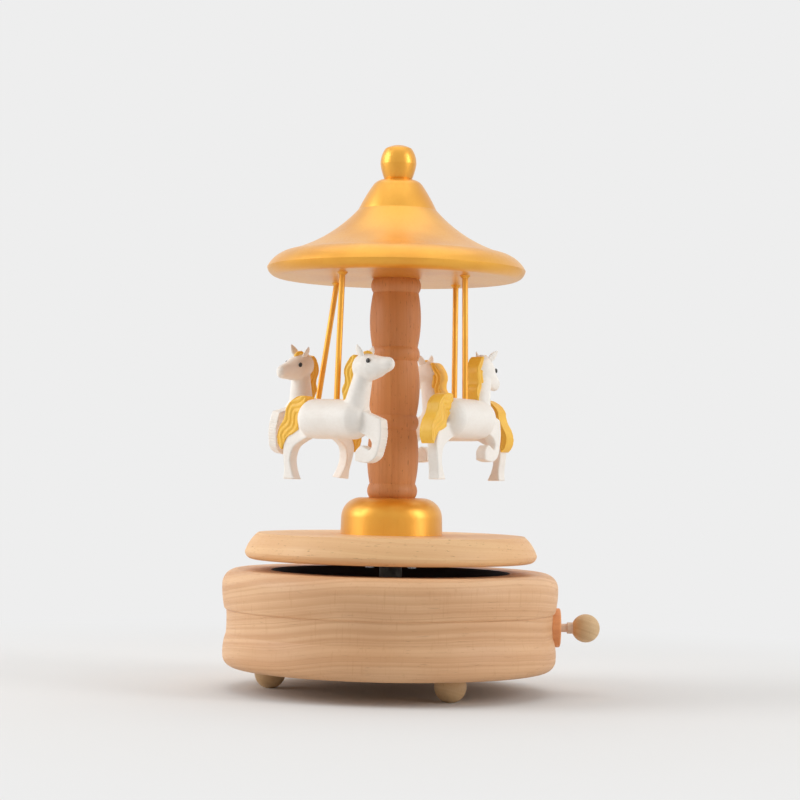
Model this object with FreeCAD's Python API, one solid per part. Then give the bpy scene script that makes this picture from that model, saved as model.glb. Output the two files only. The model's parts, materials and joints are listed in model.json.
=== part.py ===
import FreeCAD, Part
import math
import os

# Wind up music box: a wooden carousel on a turned base with a spring driven comb movement.
# Millimetres, +Z up. The carousel's axis is Z, the feet stand on z = 0 and the switch is on +X.

Vector = FreeCAD.Vector
ORIGIN = Vector(0, 0, 0)
X_AXIS = Vector(1, 0, 0)
Y_AXIS = Vector(0, 1, 0)
Z_AXIS = Vector(0, 0, 1)

# ---- Feet and base
foot_r = 5.5
foot_flat_r = 1.5
foot_inset = 17.4
foot_azimuths = {"foot_left": 180.0, "foot_front": 300.0, "foot_rear": 60.0}
base_bottom_z = 8.0
base_height = 34.0
base_r = 59.4
base_bottom_inset = 4.4
base_rim_inset = 6.9
base_edge_round = 4.0
base_shoulder = 5.0
lower_bulge_inset = 0.5
waist_inset = 1.6
waist_low = 11.8
waist_high = 20.0
base_floor = 6.0
movement_clearance = 1.0

# ---- Turntable, boss, column, canopy and finial
turntable_gap = 3.8
turntable_height = 9.2
turntable_r = 51.7
turntable_lower_round = 2.6
turntable_top_inset = 4.4
boss_height = 13.0
boss_r = 18.1
boss_round = 6.8
column_height = 77.8
column_neck_r = 8.1
column_barrel_swell = 1.0
column_bead_swell = 0.8
column_bead_height = 5.0
column_barrels = 3
tenon_r = 5.0
tenon_length = 5.0
canopy_height = 35.4
canopy_r = 46.0
canopy_edge_inset = 4.0
canopy_edge_height = 3.4
canopy_brow_inset = 8.5
canopy_brow_height = 9.4
canopy_waist_r = 13.9
canopy_waist_height = 24.6
canopy_top_r = 5.4
finial_height = 12.5
finial_r = 6.4
finial_foot_r = 4.8
finial_peg_r = 2.0
finial_peg_length = 6.0

# ---- Poles and horses
pole_r = 1.03
pole_circle_r = 30.8
pole_depth_in_canopy = 3.5
pole_depth_in_horse = 8.0
collar_r = 2.0
collar_height = 1.0
# Each horse: azimuth of its hole in the canopy, heading, drift outward, drift forward, back height
horses = {
    1: (233.0, 321.0, 1.2, -0.4, 101.9),
    2: (321.0, 58.0, 1.0, 0.0, 103.0),
    3: (45.0, 143.0, 0.0, -0.3, 102.5),
    4: (135.0, 230.0, 5.5, 3.2, 103.4),
}
# How far each horse lowers its head and lifts its tail, in degrees
head_drops = {1: 0.0, 2: 36.0, 3: 20.0, 4: 25.0}
tail_lifts = {1: 0.0, 2: 15.0, 3: 0.0, 4: 0.0}
trunk_r = 6.9
trunk_rear = -15.2
trunk_front = 13.8
trunk_end = 5.2
leg_thickness = 4.2
mane_thickness = 5.0
tail_thickness = 5.0
head_r = 4.8
muzzle_r = 3.1
head_length = 17.8
ear_length = 4.2

# ---- Stop switch
switch_z = 23.1
switch_travel = 2.0
washer_r = 6.9
washer_thickness = 3.5
washer_proud = 1.0
washer_clearance = 0.1
washer_round = 0.6
rod_r = 1.5
rod_reach_in = 2.4
rod_neck_r = 2.0
rod_neck_length = 2.0
rod_stop_gap = 0.5
knob_r = 5.0
knob_hole_depth = 4.0
slide_clearance = 0.08
brake_wire_r = 0.35
brake_gap = 0.05
pad_thickness = 1.9
pad_width = 2.4

# ---- Movement
bedplate_lift = 2.0
bedplate_thickness = 2.0
bedplate_corner = 8.0
bedplate_margin = 4.0
bedplate_screw_r = 1.2
arbor_r = 2.0
arbor_thread_r = 1.5
running_clearance = 0.05
hub_flange_r = 12.0
hub_flange_thickness = 1.6
hub_boss_r = 4.0
hub_lift = 4.0
hub_screw_circle_r = 8.5
hub_screw_length = 7.0
hub_screw_r = 0.9
crown_teeth = 40
crown_face = 2.0
crown_lift = 0.6
crown_web = 1.4
crown_tooth_height = 1.35
pinion_teeth = 20
pinion_addendum = 0.55
pinion_dedendum = 0.7
mesh_depth = 0.8
housing_r = 10.8
housing_wall = 0.8
housing_height = 11.3
housing_gap = 0.35
housing_side_gap = 0.6
housing_post_gap = 0.9
housing_post_r = 1.7
housing_arm_height = 1.4
housing_screw_r = 0.8
spring_thickness = 0.3
spring_height = 8.0
spring_turns = 6
spring_inner_r = 2.7
cylinder_r = 5.6
cylinder_length = 12.0
cylinder_pin_height = 0.5
cylinder_pin_r = 0.18
cylinder_arbor_r = 1.0
note_count = 18
pins_per_note = 4
bearing_thickness = 1.0
bearing_half_width = 4.0
bearing_height = 13.0
bearing_foot_length = 4.0
bearing_foot_thickness = 0.8
bearing_screw_r = 0.7
side_gap = 0.6
governor_module = 0.4
governor_addendum = 0.35
governor_dedendum = 0.45
governor_gear_teeth = 32
governor_gear_width = 1.2
transfer_teeth = 8
transfer_arbor_r = 0.6
worm_wheel_teeth = 16
worm_wheel_width = 1.2
worm_wheel_addendum = 0.3
worm_wheel_clearance = 0.8
worm_r = 1.4
worm_turns = 5
governor_arbor_r = 0.4
drum_r = 1.8
drum_height = 2.0
drum_gap = 0.6
fan_r = 3.4
fan_height = 1.6
fan_blade = 0.4
fan_gap = 0.4
frame_gap = 0.6
frame_thickness = 1.2
comb_gap = 0.1
comb_thickness = 1.0
comb_reach = 13.7
comb_tooth_length = 7.5
comb_slot = 0.16
comb_base_depth = 5.2
comb_screw_r = 0.8

# ---- Heights and places that follow
base_top_z = base_bottom_z + base_height
cavity_floor_z = base_bottom_z + base_floor
foot_circle_r = base_r - foot_inset
turntable_z = base_top_z + turntable_gap
boss_z = turntable_z + turntable_height
column_z = boss_z + boss_height
canopy_z = column_z + column_height
finial_z = canopy_z + canopy_height
bedplate_z = cavity_floor_z + bedplate_lift
bedplate_top_z = bedplate_z + bedplate_thickness
crown_z = bedplate_top_z + crown_lift
crown_top_z = crown_z + crown_web
crown_inner_r = housing_r + housing_side_gap
crown_outer_r = crown_inner_r + crown_face
crown_pitch_r = (crown_inner_r + crown_outer_r) / 2
pinion_pitch_r = crown_pitch_r * pinion_teeth / crown_teeth
housing_z = crown_top_z + crown_tooth_height + housing_gap
housing_post_circle_r = crown_outer_r + housing_post_gap + housing_post_r
cylinder_z = crown_top_z + mesh_depth + pinion_pitch_r
bearing_inner_x = crown_outer_r + side_gap
cylinder_low_x = bearing_inner_x + bearing_thickness + side_gap
cylinder_high_x = cylinder_low_x + cylinder_length
governor_gear_x = cylinder_high_x + side_gap
bearing_outer_x = governor_gear_x + governor_gear_width + side_gap
governor_gear_r = governor_module * governor_gear_teeth / 2
transfer_r = governor_module * transfer_teeth / 2
worm_wheel_r = governor_module * worm_wheel_teeth / 2
worm_wheel_tip_r = worm_wheel_r + worm_wheel_addendum
transfer_z = bedplate_top_z + frame_thickness + worm_wheel_clearance + worm_wheel_tip_r
transfer_y = -math.sqrt((governor_gear_r + transfer_r) ** 2 - (cylinder_z - transfer_z) ** 2)
worm_lead = math.pi * governor_module
worm_x = bearing_outer_x + bearing_thickness + 2.0
worm_y = transfer_y - worm_wheel_r - worm_r
worm_low_z = transfer_z - worm_lead * worm_turns / 2
drum_z = transfer_z + worm_wheel_tip_r + drum_gap
fan_z = drum_z + drum_height + fan_gap
frame_top_z = fan_z + fan_height + frame_gap
transfer_bearing_x = worm_x + worm_wheel_width / 2 + 0.9
comb_tip_y = cylinder_r + cylinder_pin_height + comb_gap
comb_back_y = comb_tip_y + comb_reach
comb_z = cylinder_z - comb_thickness / 2
bedplate_low_x = -(housing_post_circle_r + bedplate_margin)
bedplate_high_x = worm_x + 3.2
bedplate_low_y = worm_y - 6.2
bedplate_high_y = comb_back_y + 1.1
movement_reach = max(math.hypot(bedplate_high_x, bedplate_low_y),
                     math.hypot(bedplate_high_x, bedplate_high_y - bedplate_corner - 1),
                     math.hypot(bedplate_high_x - bedplate_corner, bedplate_high_y))
cavity_r = math.ceil(movement_reach + movement_clearance)
washer_outer_x = base_r + washer_proud
washer_inner_x = washer_outer_x - washer_thickness
neck_x = washer_outer_x + switch_travel + rod_stop_gap
knob_x = neck_x + rod_neck_length + math.sqrt(knob_r ** 2 - rod_neck_r ** 2)
rod_inner_x = cavity_r - rod_reach_in
pad_x = worm_x + drum_r + brake_gap + switch_travel
pad_z = drum_z + drum_height / 2
hub_z = turntable_z - hub_flange_thickness
hub_boss_z = housing_z + housing_height + hub_lift
mounting_points = [(-housing_post_circle_r, bedplate_low_y + bedplate_margin),
                   (-housing_post_circle_r, bedplate_high_y - bedplate_margin),
                   (worm_x - 1.0, bedplate_high_y - bedplate_corner - 3.0)]
housing_azimuths = [60.0, 180.0, 300.0]


# ---- Helpers
def bowed_edge(start, end, bow, lift):
    """Edge between two outline points; bow swells it to the right of the way along."""
    if bow == 0:
        return Part.LineSegment(lift(start), lift(end)).toShape()
    across = end[0] - start[0]
    along = end[1] - start[1]
    length = math.hypot(across, along)
    middle = ((start[0] + end[0]) / 2 + bow * along / length,
              (start[1] + end[1]) / 2 - bow * across / length)
    return Part.Arc(lift(start), lift(middle), lift(end)).toShape()


def outline_face(points, lift):
    """Face inside a closed outline of (a, b) points; (a, b, bow) is reached by an arc."""
    edges = []
    for index, point in enumerate(points):
        start = points[index - 1]
        bow = point[2] if len(point) > 2 else 0
        edges.append(bowed_edge(start, point, bow, lift))
    return Part.Face(Part.Wire(edges))


def dome_bow(radius, rise):
    """Bow of an arc that rises from radius to the axis as part of a ball centred on the axis."""
    ball_r = (radius ** 2 + rise ** 2) / (2 * rise)
    return ball_r - math.sqrt(ball_r ** 2 - (radius ** 2 + rise ** 2) / 4)


def lathe(points):
    """Solid turned about Z from a closed outline of (radius, height) points."""
    face = outline_face(points, lambda point: Vector(point[0], 0, point[1]))
    return face.revolve(ORIGIN, Z_AXIS, 360)


def slab(thickness, points):
    """Flat piece sawn from an outline of (forward, up) points, centred on the XZ plane."""
    face = outline_face(points, lambda point: Vector(point[0], -thickness / 2, point[1]))
    return face.extrude(Y_AXIS * thickness)


def plate(points, low_z, thickness):
    """Flat piece cut from an outline of (x, y) points."""
    face = outline_face(points, lambda point: Vector(point[0], point[1], low_z))
    return face.extrude(Z_AXIS * thickness)


def block(low, high):
    """Box between two corners."""
    return Part.makeBox(high[0] - low[0], high[1] - low[1], high[2] - low[2], Vector(*low))


def bar(radius, start, end):
    """Round bar between two points."""
    along = end - start
    return Part.makeCylinder(radius, along.Length, start, along)


def post(radius, x, y, low_z, high_z):
    """Round bar along Z."""
    return Part.makeCylinder(radius, high_z - low_z, Vector(x, y, low_z))


def placed(shape, position, direction):
    """The shape with its origin at position and its Z axis along direction."""
    moved = shape.copy()
    moved.Placement = FreeCAD.Placement(position, FreeCAD.Rotation(Z_AXIS, direction))
    return moved


def on_circle(radius, azimuth, z=0):
    """Point at a radius and an azimuth in degrees."""
    angle = math.radians(azimuth)
    return Vector(radius * math.cos(angle), radius * math.sin(angle), z)


def screw(seat, direction, head_r, shank_r, length):
    """Slotted screw whose head rests on seat and whose shank runs along direction."""
    head_height = 0.55 * head_r
    head = post(head_r, 0, 0, -head_height, 0)
    slot_half = 0.15 * head_r
    slot = block((-head_r, -slot_half, -head_height), (head_r, slot_half, -0.5 * head_height))
    shank = post(shank_r, 0, 0, 0, length)
    return placed(head.cut(slot).fuse(shank), seat, direction)


def gear(teeth, pitch_r, addendum, dedendum, width, phase):
    """Spur gear about Z standing on z = 0, with one tooth centred at the phase angle."""
    half_tooth = 0.18 * 2 * math.pi * pitch_r / teeth
    slope = math.tan(math.radians(20))
    root_r = pitch_r - dedendum
    tip_r = pitch_r + addendum
    root_turn = math.degrees((half_tooth + slope * dedendum) / root_r)
    tip_turn = math.degrees((half_tooth - slope * addendum) / tip_r)
    corners = [(root_r, -root_turn), (tip_r, -tip_turn), (tip_r, tip_turn), (root_r, root_turn)]
    points = []
    for tooth in range(teeth):
        middle = phase + 360 * tooth / teeth
        points.extend(on_circle(radius, middle + turn) for radius, turn in corners)
    return Part.Face(Part.makePolygon(points + points[:1])).extrude(Z_AXIS * width)


# ---- Base
def foot(azimuth):
    """Wooden ball with a small flat sanded on its underside."""
    centre = on_circle(foot_circle_r, azimuth, math.sqrt(foot_r ** 2 - foot_flat_r ** 2))
    ball = Part.makeSphere(foot_r, centre)
    below = block((centre.x - foot_r, centre.y - foot_r, -foot_r), (centre.x + foot_r, centre.y + foot_r, 0))
    return ball.cut(below)


def base_body(feet, screws):
    """Turned base with two bulges, open above, with seats for feet, screws and switch."""
    bottom_r = base_r - base_bottom_inset
    lower_r = base_r - lower_bulge_inset
    waist_r = base_r - waist_inset
    body = lathe([
        (0, base_bottom_z),
        (bottom_r, base_bottom_z),
        (lower_r, base_bottom_z + base_edge_round, 1.15),
        (waist_r, base_bottom_z + waist_low, 0.42),
        (waist_r, base_bottom_z + waist_high, -0.15),
        (waist_r + 0.8, base_bottom_z + waist_high + 0.7, 0.12),
        (base_r, base_top_z - base_shoulder, 0.25),
        (base_r - base_rim_inset, base_top_z, 2.1),
        (cavity_r, base_top_z),
        (cavity_r, cavity_floor_z),
        (0, cavity_floor_z),
    ])
    rod_hole = bar(rod_r + slide_clearance, Vector(rod_inner_x, 0, switch_z), Vector(base_r + 1, 0, switch_z))
    washer_seat = bar(washer_r + washer_clearance, Vector(washer_inner_x, 0, switch_z),
                      Vector(base_r + 1, 0, switch_z))
    return body.cut(feet + screws + [rod_hole, washer_seat])


def switch_washer():
    """Rounded wooden disc that the switch rod slides through."""
    hole_r = rod_r + slide_clearance
    rim_r = washer_r - washer_round
    round_bow = 0.29 * washer_round
    disc = lathe([
        (hole_r, 0),
        (rim_r, 0),
        (washer_r, washer_round, round_bow),
        (washer_r, washer_thickness - washer_round),
        (rim_r, washer_thickness, round_bow),
        (hole_r, washer_thickness),
    ])
    return placed(disc, Vector(washer_inner_x, 0, switch_z), X_AXIS)


# ---- Movement, fixed pieces
def bedplate_screws():
    """Three screws from below, with their heads sunk into the base."""
    seat_z = base_bottom_z + 2.0
    length = bedplate_top_z - 0.6 - seat_z
    return [screw(Vector(x, y, seat_z), Z_AXIS, 2.4, bedplate_screw_r, length) for x, y in mounting_points]


def screw_wells():
    """Clearance holes in the base for the bedplate screws."""
    wells = []
    for x, y in mounting_points:
        wells.append(post(bedplate_screw_r + 0.15, x, y, base_bottom_z, cavity_floor_z))
        wells.append(post(2.7, x, y, base_bottom_z, base_bottom_z + 2.0))
    return wells


def bedplate(holes):
    """Metal plate on three short pillars that carries the movement."""
    sheet = plate([
        (bedplate_low_x, bedplate_low_y),
        (bedplate_high_x, bedplate_low_y),
        (bedplate_high_x, bedplate_high_y - bedplate_corner - 1),
        (bedplate_high_x - bedplate_corner, bedplate_high_y),
        (bedplate_low_x, bedplate_high_y),
    ], bedplate_z, bedplate_thickness)
    pillars = [post(2.5, x, y, cavity_floor_z, bedplate_z) for x, y in mounting_points]
    arbor_hole = post(arbor_r + running_clearance, 0, 0, bedplate_z, bedplate_top_z)
    return sheet.fuse(pillars).cut(holes + [arbor_hole])


def spring_housing(screws):
    """Cup over the mainspring, held on three posts above the crown wheel."""
    inner_r = housing_r - housing_wall
    top_z = housing_z + housing_height
    bore_r = arbor_r + 2 * running_clearance
    cup = lathe([
        (inner_r, housing_z),
        (housing_r, housing_z),
        (housing_r, top_z - 1.0),
        (housing_r - 1.0, top_z, 0.29),
        (bore_r, top_z),
        (bore_r, top_z - housing_wall),
        (inner_r, top_z - housing_wall),
    ])
    arm_z = housing_z + 0.2
    arms = []
    for azimuth in housing_azimuths:
        arm = block((inner_r + 0.2, -housing_post_r, arm_z),
                    (housing_post_circle_r, housing_post_r, arm_z + housing_arm_height))
        arm.rotate(ORIGIN, Z_AXIS, azimuth)
        foot_point = on_circle(housing_post_circle_r, azimuth)
        arms.append(arm)
        arms.append(post(housing_post_r, foot_point.x, foot_point.y, bedplate_top_z,
                         arm_z + housing_arm_height))
    return cup.fuse(arms).cut(screws)


def housing_screws():
    """Screws down through the housing's posts into the bedplate."""
    seat_z = housing_z + 0.2 + housing_arm_height
    length = seat_z - bedplate_z - 0.4
    return [screw(on_circle(housing_post_circle_r, azimuth, seat_z), -Z_AXIS, 1.5, housing_screw_r, length)
            for azimuth in housing_azimuths]


def mainspring():
    """Flat coiled band made of half turns about two centres."""
    outer_r = housing_r - housing_wall - 0.5
    pitch = (outer_r - spring_inner_r) / spring_turns
    low_z = housing_z + 1.6
    half_band = spring_thickness / 2

    def line(offset):
        arcs = []
        for half_turn in range(2 * spring_turns):
            radius = spring_inner_r + pitch / 2 * half_turn + offset
            side = 1 if half_turn % 2 == 0 else -1
            centre = Vector(0 if side == 1 else pitch / 2, 0, low_z)
            arcs.append(Part.Arc(centre + X_AXIS * side * radius, centre + Y_AXIS * side * radius,
                                 centre - X_AXIS * side * radius).toShape())
        return arcs

    inner = line(-half_band)
    outer = line(half_band)
    caps = [Part.LineSegment(inner[0].Vertexes[0].Point, outer[0].Vertexes[0].Point).toShape(),
            Part.LineSegment(inner[-1].Vertexes[-1].Point, outer[-1].Vertexes[-1].Point).toShape()]
    wire = Part.Wire(Part.__sortEdges__(inner + outer + caps))
    return Part.Face(wire).extrude(Z_AXIS * spring_height)


def bearing(low_x, foot_x, low_y, holes):
    """Upright bearing plate with a foot screwed to the bedplate."""
    high_z = bedplate_top_z + bearing_height
    upright = block((low_x, low_y, bedplate_top_z),
                    (low_x + bearing_thickness, bearing_half_width, high_z))
    sole = block((foot_x, -bearing_half_width, bedplate_top_z),
                 (foot_x + bearing_foot_length, bearing_half_width, bedplate_top_z + bearing_foot_thickness))
    return upright.fuse(sole).cut(holes)


def bearing_screws():
    """Two screws in each bearing's foot and one in the governor's frame."""
    seat_z = bedplate_top_z + bearing_foot_thickness
    length = bearing_foot_thickness + 1.4
    screws = []
    for x in (bearing_inner_x + bearing_thickness + 2.3, bearing_outer_x - 2.9):
        for y in (-2.2, 2.2):
            screws.append(screw(Vector(x, y, seat_z), -Z_AXIS, 1.1, bearing_screw_r, length))
    frame_seat = Vector(worm_x, worm_y - worm_r - 1.75, bedplate_top_z + frame_thickness)
    screws.append(screw(frame_seat, -Z_AXIS, 1.2, bearing_screw_r, frame_thickness + 1.4))
    return screws


def governor_frame(holes):
    """Bracket with the governor's lower and upper bearings and the transfer arbor's outer one."""
    low_x = bearing_outer_x + bearing_thickness + 0.4
    low_y = worm_y - 5.7
    sole_top_z = bedplate_top_z + frame_thickness
    sole = block((low_x, low_y, bedplate_top_z), (transfer_bearing_x + 1.6, transfer_y + 2.7, sole_top_z))
    upright = block((low_x, low_y, bedplate_top_z),
                    (worm_x + 2.0, low_y + frame_thickness, frame_top_z + 1.0))
    arm = block((low_x, low_y, frame_top_z), (worm_x + 1.6, worm_y + 1.2, frame_top_z + 1.0))
    ear = block((transfer_bearing_x, transfer_y - 1.6, bedplate_top_z),
                (transfer_bearing_x + 0.6, transfer_y + 1.6, transfer_z + 1.6))
    pivot_r = governor_arbor_r + running_clearance
    pivot = post(pivot_r, worm_x, worm_y, bedplate_top_z, frame_top_z + 1.0)
    return sole.fuse([upright, arm, ear]).cut(holes + [pivot])


def comb(screws):
    """Steel comb with one tooth for each note."""
    pitch = cylinder_length / note_count
    slot_y = comb_tip_y + comb_tooth_length
    points = [(cylinder_high_x, comb_back_y), (cylinder_low_x, comb_back_y)]
    for tooth in range(note_count):
        left = cylinder_low_x + pitch * tooth
        points.extend([(left, slot_y), (left, comb_tip_y),
                       (left + pitch - comb_slot, comb_tip_y), (left + pitch - comb_slot, slot_y)])
    points.append((cylinder_high_x, slot_y))
    return plate(points, comb_z, comb_thickness).cut(screws)


def comb_base(screws):
    """Block that holds the comb level with the cylinder's axis."""
    low = (cylinder_low_x, comb_back_y - comb_base_depth, bedplate_top_z)
    return block(low, (cylinder_high_x, comb_back_y, comb_z)).cut(screws)


def comb_screws():
    """Two screws down through the comb into its base."""
    y = comb_back_y - comb_base_depth / 2
    return [screw(Vector(x, y, comb_z + comb_thickness), -Z_AXIS, 1.6, comb_screw_r, 5.0)
            for x in (cylinder_low_x + 3.0, cylinder_high_x - 3.0)]


# ---- Movement, turning pieces
def winding_arbor():
    """Arbor from the bedplate up into the drive hub."""
    arbor = post(arbor_r, 0, 0, bedplate_z - 1.0, hub_boss_z)
    return arbor.fuse(post(arbor_thread_r, 0, 0, hub_boss_z, turntable_z - 1.2))


def crown_wheel():
    """Disc with upright teeth near its rim, fixed on the arbor."""
    web = post(crown_outer_r, 0, 0, crown_z, crown_top_z)
    half_root = 0.5
    half_tip = 0.25
    profile = [Vector(crown_inner_r, -half_root, crown_top_z), Vector(crown_inner_r, half_root, crown_top_z),
               Vector(crown_inner_r, half_tip, crown_top_z + crown_tooth_height),
               Vector(crown_inner_r, -half_tip, crown_top_z + crown_tooth_height)]
    tooth_length = crown_face - 0.1
    tooth = Part.Face(Part.makePolygon(profile + profile[:1])).extrude(X_AXIS * tooth_length)
    teeth = []
    for index in range(crown_teeth):
        copy = tooth.copy()
        copy.rotate(ORIGIN, Z_AXIS, 360 * (index + 0.5) / crown_teeth)
        teeth.append(copy)
    return web.fuse(teeth).cut(post(arbor_r, 0, 0, crown_z, crown_top_z))


def drive_hub(screws):
    """Flange and boss that join the turntable to the arbor."""
    hub = post(hub_flange_r, 0, 0, hub_z, turntable_z).fuse(post(hub_boss_r, 0, 0, hub_boss_z, hub_z))
    return hub.cut(screws + [post(arbor_thread_r, 0, 0, hub_boss_z, turntable_z - 1.2)])


def hub_screws():
    """Three screws up through the hub's flange into the turntable."""
    return [screw(on_circle(hub_screw_circle_r, azimuth, hub_z), Z_AXIS, 1.6, hub_screw_r, hub_screw_length)
            for azimuth in (90.0, 210.0, 330.0)]


def pin_cylinder():
    """Music cylinder and its arbor, with the pins that pluck the comb."""
    centre = Vector(0, 0, cylinder_z)
    barrel = bar(cylinder_r, centre + X_AXIS * cylinder_low_x, centre + X_AXIS * (cylinder_high_x - 0.2))
    arbor = bar(cylinder_arbor_r, centre + X_AXIS * (crown_inner_r - 0.3),
                centre + X_AXIS * (bearing_outer_x + bearing_thickness + 0.3))
    pitch = cylinder_length / note_count
    pins = []
    for note in range(note_count):
        x = cylinder_low_x + pitch * (note + 0.5) - comb_slot / 2
        for step in range(pins_per_note):
            turn = math.radians(90 * step + (53 * note + 17 * step) % 80)
            outward = Vector(0, math.sin(turn), math.cos(turn))
            root = Vector(x, 0, cylinder_z) + outward * (cylinder_r - 0.4)
            pins.append(bar(cylinder_pin_r, root, root + outward * (cylinder_pin_height + 0.4)))
    return barrel.fuse([arbor] + pins)


def arbor_gear(teeth, pitch_r, addendum, dedendum, low_x, width, y, z, phase, bore_r):
    """Gear on an arbor along X; at phase 0 a tooth points straight down."""
    wheel = gear(teeth, pitch_r, addendum, dedendum, width, phase)
    if bore_r:
        wheel = wheel.cut(post(bore_r, 0, 0, 0, width))
    return placed(wheel, Vector(low_x, y, z), X_AXIS)


def governor_phase():
    """Angle from the cylinder's arbor towards the transfer arbor, counted from straight down."""
    return math.degrees(math.atan2(transfer_y, cylinder_z - transfer_z))


def transfer_arbor():
    """Small arbor with the governor's first pinion."""
    phase = governor_phase() + 180 + 180 / transfer_teeth
    pinion = arbor_gear(transfer_teeth, transfer_r, governor_addendum, governor_dedendum,
                        governor_gear_x, governor_gear_width, transfer_y, transfer_z, phase, 0)
    start = Vector(governor_gear_x - 0.2, transfer_y, transfer_z)
    end = Vector(transfer_bearing_x + 0.8, transfer_y, transfer_z)
    return pinion.fuse(bar(transfer_arbor_r, start, end))


def governor_worm():
    """Upright arbor with the worm and the drum that the brake pad stops."""
    root_r = worm_r - governor_dedendum
    tip_r = worm_r + 0.3
    arbor = post(governor_arbor_r, 0, 0, bedplate_top_z + 0.3, frame_top_z + 1.2)
    core = post(root_r, 0, 0, worm_low_z - 0.4, worm_low_z + worm_lead * worm_turns + 0.4)
    drum = post(drum_r, 0, 0, drum_z, drum_z + drum_height)
    profile = [Vector(root_r - 0.1, 0, -0.34), Vector(tip_r, 0, -0.11),
               Vector(tip_r, 0, 0.11), Vector(root_r - 0.1, 0, 0.34)]
    section = Part.makePolygon(profile + profile[:1])
    helix = Part.makeHelix(worm_lead, worm_lead * worm_turns, worm_r)
    thread = Part.Wire(helix).makePipeShell([section], True, True)
    thread.translate(Z_AXIS * worm_low_z)
    thread.rotate(ORIGIN, Z_AXIS, 90)
    worm = core.fuse([thread, arbor, drum])
    worm.translate(Vector(worm_x, worm_y, 0))
    return worm


def governor_fan():
    """Two-bladed air brake on top of the worm's arbor."""
    hub = post(0.9, worm_x, worm_y, fan_z, fan_z + fan_height)
    blades = block((worm_x - fan_r, worm_y - fan_blade / 2, fan_z),
                   (worm_x + fan_r, worm_y + fan_blade / 2, fan_z + fan_height))
    return hub.fuse(blades).cut(post(governor_arbor_r, worm_x, worm_y, fan_z, fan_z + fan_height))


# ---- Stop switch
def brake_wire():
    """Bent wire from the switch rod round to the governor's drum."""
    x = cavity_r - 1.4
    pad_middle_x = pad_x + pad_thickness / 2
    corners = [Vector(x, 0, switch_z), Vector(x, -4.0, switch_z),
               Vector(pad_middle_x, worm_y + 2.2, pad_z), Vector(pad_middle_x, worm_y - pad_width / 2, pad_z)]
    wire = bar(brake_wire_r, corners[0], corners[1])
    for start, end in zip(corners[1:], corners[2:]):
        wire = wire.fuse([Part.makeSphere(brake_wire_r, start), bar(brake_wire_r, start, end)])
    return wire


def brake_pad(wire):
    """Felt pad that stops the drum when the switch is pushed in."""
    low = (pad_x, worm_y - pad_width / 2, drum_z)
    high = (pad_x + pad_thickness, worm_y + pad_width / 2, drum_z + drum_height)
    return block(low, high).cut(wire)


def switch_rod(wire):
    """Wooden rod through the base, with a thicker neck next to its knob."""
    centre = Vector(0, 0, switch_z)
    rod = bar(rod_r, centre + X_AXIS * rod_inner_x, centre + X_AXIS * (knob_x - knob_r + knob_hole_depth))
    neck = bar(rod_neck_r, centre + X_AXIS * neck_x, centre + X_AXIS * (neck_x + rod_neck_length + 0.3))
    return rod.fuse(neck).cut(wire)


def switch_knob(rod):
    """Wooden ball glued on the end of the rod."""
    return Part.makeSphere(knob_r, Vector(knob_x, 0, switch_z)).cut(rod)


# ---- Carousel, turned pieces
def turntable(screws):
    """Wooden disc that is turned by hand to wind the spring."""
    tenon_hole = post(tenon_r, 0, 0, boss_z - tenon_length, boss_z)
    disc = lathe([
        (0, turntable_z),
        (turntable_r - turntable_lower_round, turntable_z),
        (turntable_r, turntable_z + turntable_lower_round, 0.29 * turntable_lower_round),
        (turntable_r - turntable_top_inset, boss_z, 0.55),
        (0, boss_z),
    ])
    return disc.cut(screws + [tenon_hole])


def boss():
    """Rounded collar round the foot of the column."""
    return lathe([
        (tenon_r, boss_z),
        (boss_r, boss_z),
        (boss_r - 0.2, column_z - boss_round),
        (boss_r - 0.2 - boss_round, column_z, 0.28 * boss_round),
        (tenon_r, column_z),
    ])


def column():
    """Turned column: beads and barrels in turn, with a tenon at each end."""
    barrel_height = (column_height - (column_barrels + 1) * column_bead_height) / column_barrels
    low_z = boss_z - tenon_length
    high_z = canopy_z + tenon_length
    points = [(0, low_z), (tenon_r, low_z), (tenon_r, column_z), (column_neck_r, column_z)]
    z = column_z
    for index in range(column_barrels):
        z += column_bead_height
        points.append((column_neck_r, z, column_bead_swell))
        z += barrel_height
        points.append((column_neck_r, z, column_barrel_swell))
    points.append((column_neck_r, canopy_z, column_bead_swell))
    points.extend([(tenon_r, canopy_z), (tenon_r, high_z), (0, high_z)])
    return lathe(points)


def canopy(poles):
    """Turned roof with holes for the column, the finial and the poles."""
    roof = lathe([
        (0, canopy_z),
        (canopy_r - canopy_edge_inset, canopy_z),
        (canopy_r, canopy_z + canopy_edge_height, 0.29 * canopy_edge_height),
        (canopy_r - canopy_brow_inset, canopy_z + canopy_brow_height, 1.25),
        (canopy_waist_r, canopy_z + canopy_waist_height, -1.9),
        (canopy_top_r + 3.6, finial_z - 2.2, 0.2),
        (canopy_top_r, finial_z, 0.5),
        (0, finial_z),
    ])
    tenon_hole = post(tenon_r, 0, 0, canopy_z, canopy_z + tenon_length)
    peg_hole = post(finial_peg_r, 0, 0, finial_z - finial_peg_length, finial_z)
    return roof.cut([tenon_hole, peg_hole] + poles)


def finial():
    """Barrel-shaped knob with a peg into the roof."""
    crest = 1.3
    crest_r = finial_r - 1.7
    return lathe([
        (0, finial_z - finial_peg_length),
        (finial_peg_r, finial_z - finial_peg_length),
        (finial_peg_r, finial_z),
        (finial_foot_r, finial_z),
        (finial_r, finial_z + 5.6, 0.2),
        (crest_r, finial_z + finial_height - crest, 0.5),
        (0, finial_z + finial_height, dome_bow(crest_r, crest)),
    ])


# ---- Carousel, poles and horses
def heading_of(number):
    """Unit vector in the horse's direction."""
    return on_circle(1, horses[number][1])


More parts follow.
